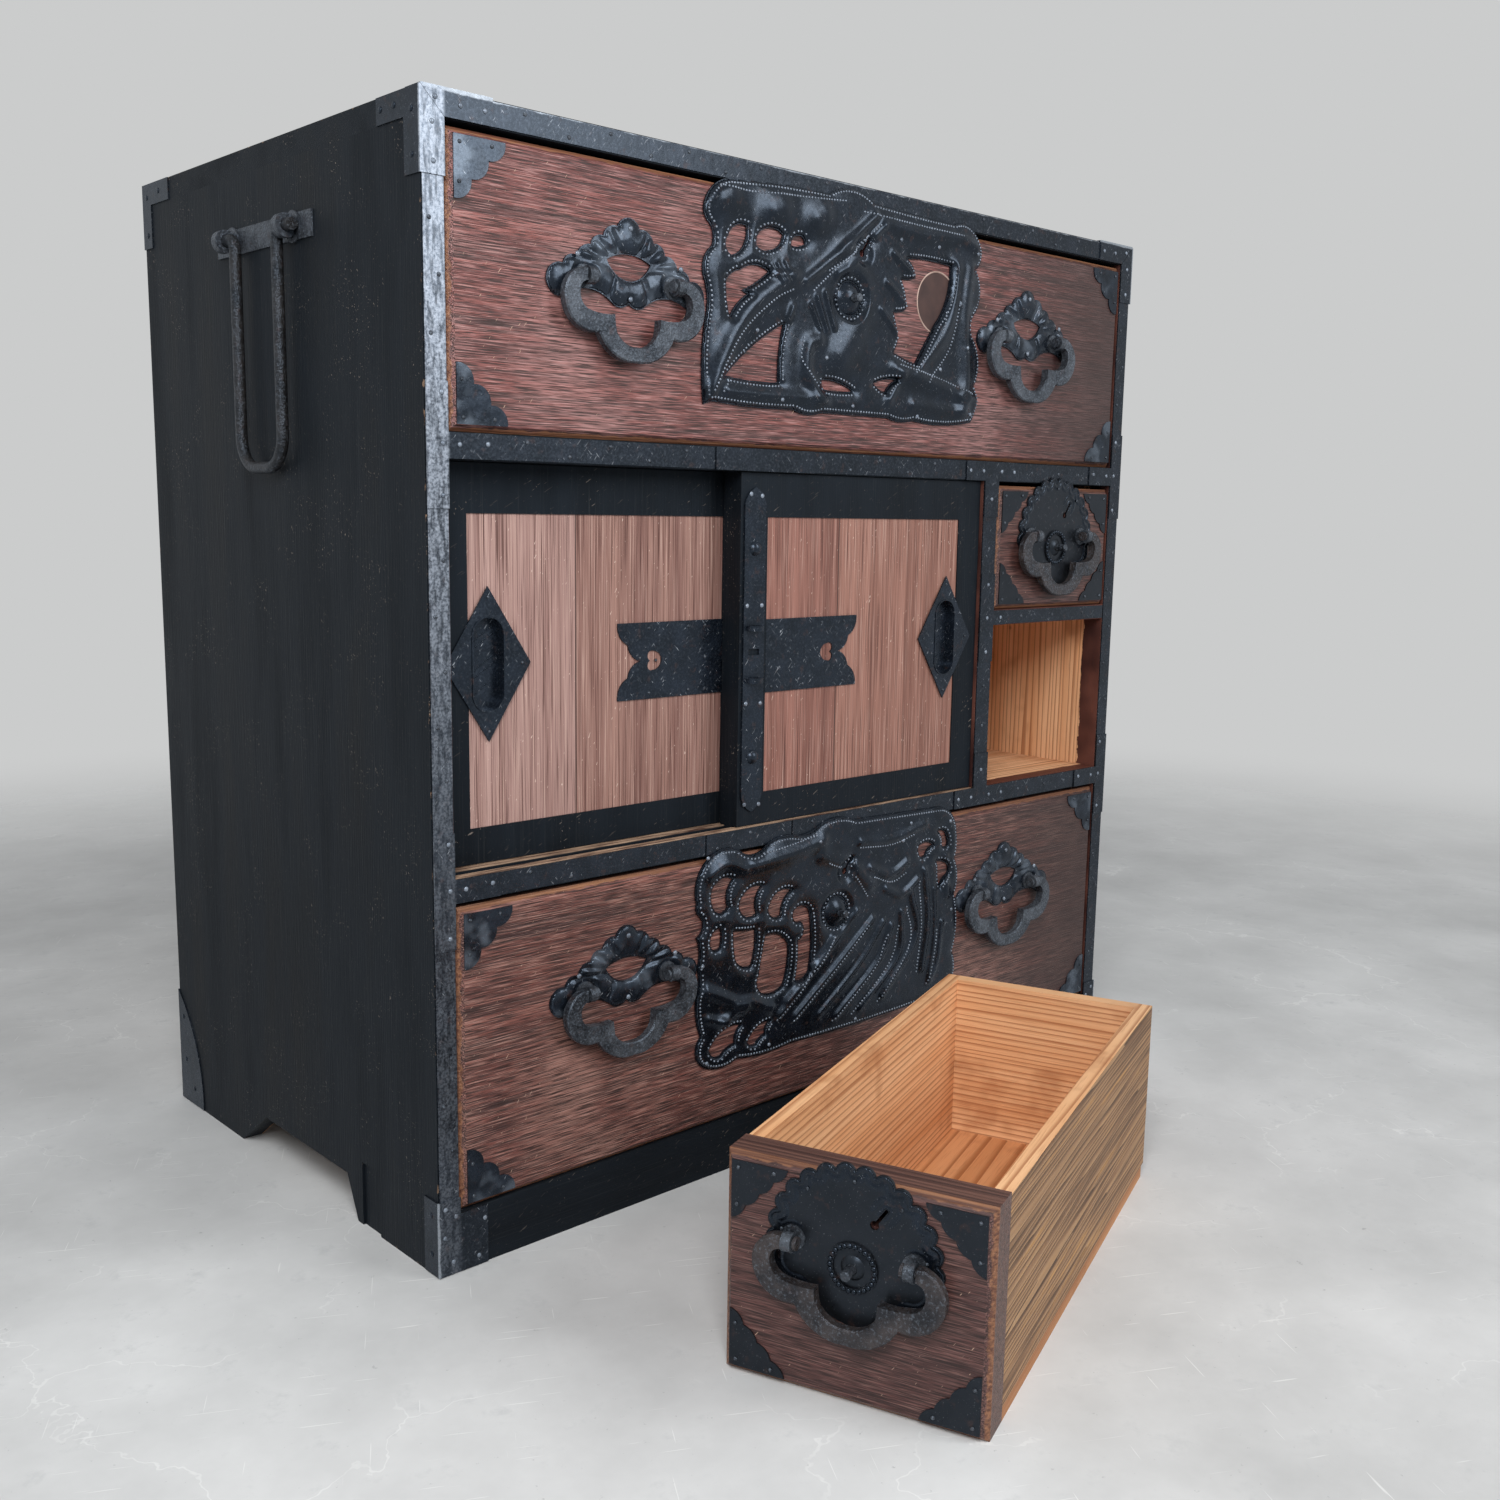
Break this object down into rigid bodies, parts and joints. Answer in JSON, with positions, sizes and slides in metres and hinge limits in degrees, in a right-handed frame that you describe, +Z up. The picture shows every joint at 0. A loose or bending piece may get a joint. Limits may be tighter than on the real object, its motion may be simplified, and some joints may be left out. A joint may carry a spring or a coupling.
{
  "type": "small tansu chest",
  "caption": "Small wooden clothing chest with iron straps, openwork lock plates, bail handles, wide and small drawers and two sliding doors; one small drawer stands out on the floor",
  "frame": {"origin": "middle of the front base rail's underside, on the floor, halfway across the chest's front", "axes": "+X to the right of someone facing the front, +Y from the front to the back, +Z up"},
  "size_m": [0.6258, 0.621, 0.6068],
  "materials": {
    "stained_wood": "dark lacquer stain, worn at the edges",
    "raw_wood": "bare planed wood, darkened by age",
    "black_iron": "black lacquered wrought iron, rubbed and lightly rusted",
    "copper": "patinated copper disc"
  },
  "bodies": {
    "case": {"side_left": "stained_wood", "side_right": "stained_wood", "top_board": "stained_wood", "base_rail": "stained_wood", "bottom_board": "raw_wood", "upper_rail": "stained_wood", "lower_rail": "stained_wood", "dust_boards": "raw_wood", "back_boards": "raw_wood", "divider": "stained_wood", "small_shelf": "stained_wood", "front_straps": "black_iron", "joint_sleeves": "black_iron", "side_handle_mounts": "black_iron"},
    "top_drawer": {"top_drawer_front": "stained_wood", "top_drawer_box": "raw_wood", "top_drawer_corner_irons": "black_iron", "top_drawer_lock_plate": "black_iron", "top_drawer_lock_case": "black_iron", "top_drawer_pull_plates": "black_iron", "top_drawer_pull_posts": "black_iron", "top_drawer_moon_disc": "copper"},
    "bottom_drawer": {"bottom_drawer_front": "stained_wood", "bottom_drawer_box": "raw_wood", "bottom_drawer_corner_irons": "black_iron", "bottom_drawer_lock_plate": "black_iron", "bottom_drawer_lock_case": "black_iron", "bottom_drawer_pull_plates": "black_iron", "bottom_drawer_pull_posts": "black_iron"},
    "upper_small": {"upper_small_front": "stained_wood", "upper_small_box": "raw_wood", "upper_small_corner_irons": "black_iron", "upper_small_lock_plate": "black_iron", "upper_small_lock_case": "black_iron", "upper_small_pull_posts": "black_iron"},
    "loose_drawer": {"loose_drawer_front": "stained_wood", "loose_drawer_box": "raw_wood", "loose_drawer_corner_irons": "black_iron", "loose_drawer_lock_plate": "black_iron", "loose_drawer_lock_case": "black_iron", "loose_drawer_pull_posts": "black_iron"},
    "left_door": {"left_door_frame": "stained_wood", "left_door_panel": "stained_wood", "left_door_irons": "black_iron"},
    "right_door": {"right_door_frame": "stained_wood", "right_door_panel": "stained_wood", "right_door_irons": "black_iron", "lock_bar": "black_iron"},
    "top_drawer_bail_left_body": {"top_drawer_bail_left": "black_iron"},
    "top_drawer_bail_right_body": {"top_drawer_bail_right": "black_iron"},
    "bottom_drawer_bail_left_body": {"bottom_drawer_bail_left": "black_iron"},
    "bottom_drawer_bail_right_body": {"bottom_drawer_bail_right": "black_iron"},
    "upper_small_bail_body": {"upper_small_bail": "black_iron"},
    "loose_drawer_bail_body": {"loose_drawer_bail": "black_iron"},
    "side_bail_left_body": {"side_bail_left": "black_iron"},
    "side_bail_right_body": {"side_bail_right": "black_iron"},
    "top_drawer_button_body": {"top_drawer_lock_button": "black_iron"},
    "bottom_drawer_button_body": {"bottom_drawer_lock_button": "black_iron"},
    "upper_small_button_body": {"upper_small_lock_button": "black_iron"},
    "loose_drawer_button_body": {"loose_drawer_lock_button": "black_iron"}
  },
  "joints": [
    {"name": "top_drawer_slide", "type": "slide", "parent": "case", "child": "top_drawer", "axis": [0, -1, 0], "range_m": [0, 0.275]},
    {"name": "bottom_drawer_slide", "type": "slide", "parent": "case", "child": "bottom_drawer", "axis": [0, -1, 0], "range_m": [0, 0.275]},
    {"name": "upper_small_slide", "type": "slide", "parent": "case", "child": "upper_small", "axis": [0, -1, 0], "range_m": [0, 0.275]},
    {"name": "loose_drawer_slide", "type": "slide", "parent": "case", "child": "loose_drawer", "axis": [0, -1, 0], "range_m": [0, 0.275]},
    {"name": "left_door_slide", "type": "slide", "parent": "case", "child": "left_door", "axis": [1, 0, 0], "range_m": [0, 0.199]},
    {"name": "right_door_slide", "type": "slide", "parent": "case", "child": "right_door", "axis": [-1, 0, 0], "range_m": [0, 0.199]},
    {"name": "top_drawer_bail_left_hinge", "type": "hinge", "parent": "top_drawer", "child": "top_drawer_bail_left_body", "pos_m": [-0.175, -0.0179, 0.5288], "axis": [-1, 0, 0], "range_deg": [0, 165]},
    {"name": "top_drawer_bail_right_hinge", "type": "hinge", "parent": "top_drawer", "child": "top_drawer_bail_right_body", "pos_m": [0.175, -0.0179, 0.5288], "axis": [-1, 0, 0], "range_deg": [0, 165]},
    {"name": "bottom_drawer_bail_left_hinge", "type": "hinge", "parent": "bottom_drawer", "child": "bottom_drawer_bail_left_body", "pos_m": [-0.175, -0.0179, 0.1403], "axis": [-1, 0, 0], "range_deg": [0, 165]},
    {"name": "bottom_drawer_bail_right_hinge", "type": "hinge", "parent": "bottom_drawer", "child": "bottom_drawer_bail_right_body", "pos_m": [0.175, -0.0179, 0.1403], "axis": [-1, 0, 0], "range_deg": [0, 165]},
    {"name": "upper_small_bail_hinge", "type": "hinge", "parent": "upper_small", "child": "upper_small_bail_body", "pos_m": [0.21975, -0.0179, 0.3946], "axis": [-1, 0, 0], "range_deg": [0, 165]},
    {"name": "loose_drawer_bail_hinge", "type": "hinge", "parent": "loose_drawer", "child": "loose_drawer_bail_body", "pos_m": [-0.22537, -0.23774, 0.0767], "axis": [-0.3502, 0.9367, 0], "range_deg": [0, 165]},
    {"name": "side_bail_left_hinge", "type": "hinge", "parent": "case", "child": "side_bail_left_body", "pos_m": [-0.3065, 0.157, 0.5565], "axis": [0, 1, 0], "range_deg": [0, 165]},
    {"name": "side_bail_right_hinge", "type": "hinge", "parent": "case", "child": "side_bail_right_body", "pos_m": [0.3065, 0.157, 0.5565], "axis": [0, -1, 0], "range_deg": [0, 165]},
    {"name": "top_drawer_button_slide", "type": "slide", "parent": "top_drawer", "child": "top_drawer_button_body", "axis": [0, 1, 0], "range_m": [0, 0.004]},
    {"name": "bottom_drawer_button_slide", "type": "slide", "parent": "bottom_drawer", "child": "bottom_drawer_button_body", "axis": [0, 1, 0], "range_m": [0, 0.004]},
    {"name": "upper_small_button_slide", "type": "slide", "parent": "upper_small", "child": "upper_small_button_body", "axis": [0, 1, 0], "range_m": [0, 0.004]},
    {"name": "loose_drawer_button_slide", "type": "slide", "parent": "loose_drawer", "child": "loose_drawer_button_body", "axis": [0.9367, 0.3502, 0], "range_m": [0, 0.004]}
  ],
  "couplings": [
    {"joint": "loose_drawer_slide", "follows": "bottom_drawer_slide", "ratio": 1}
  ]
}
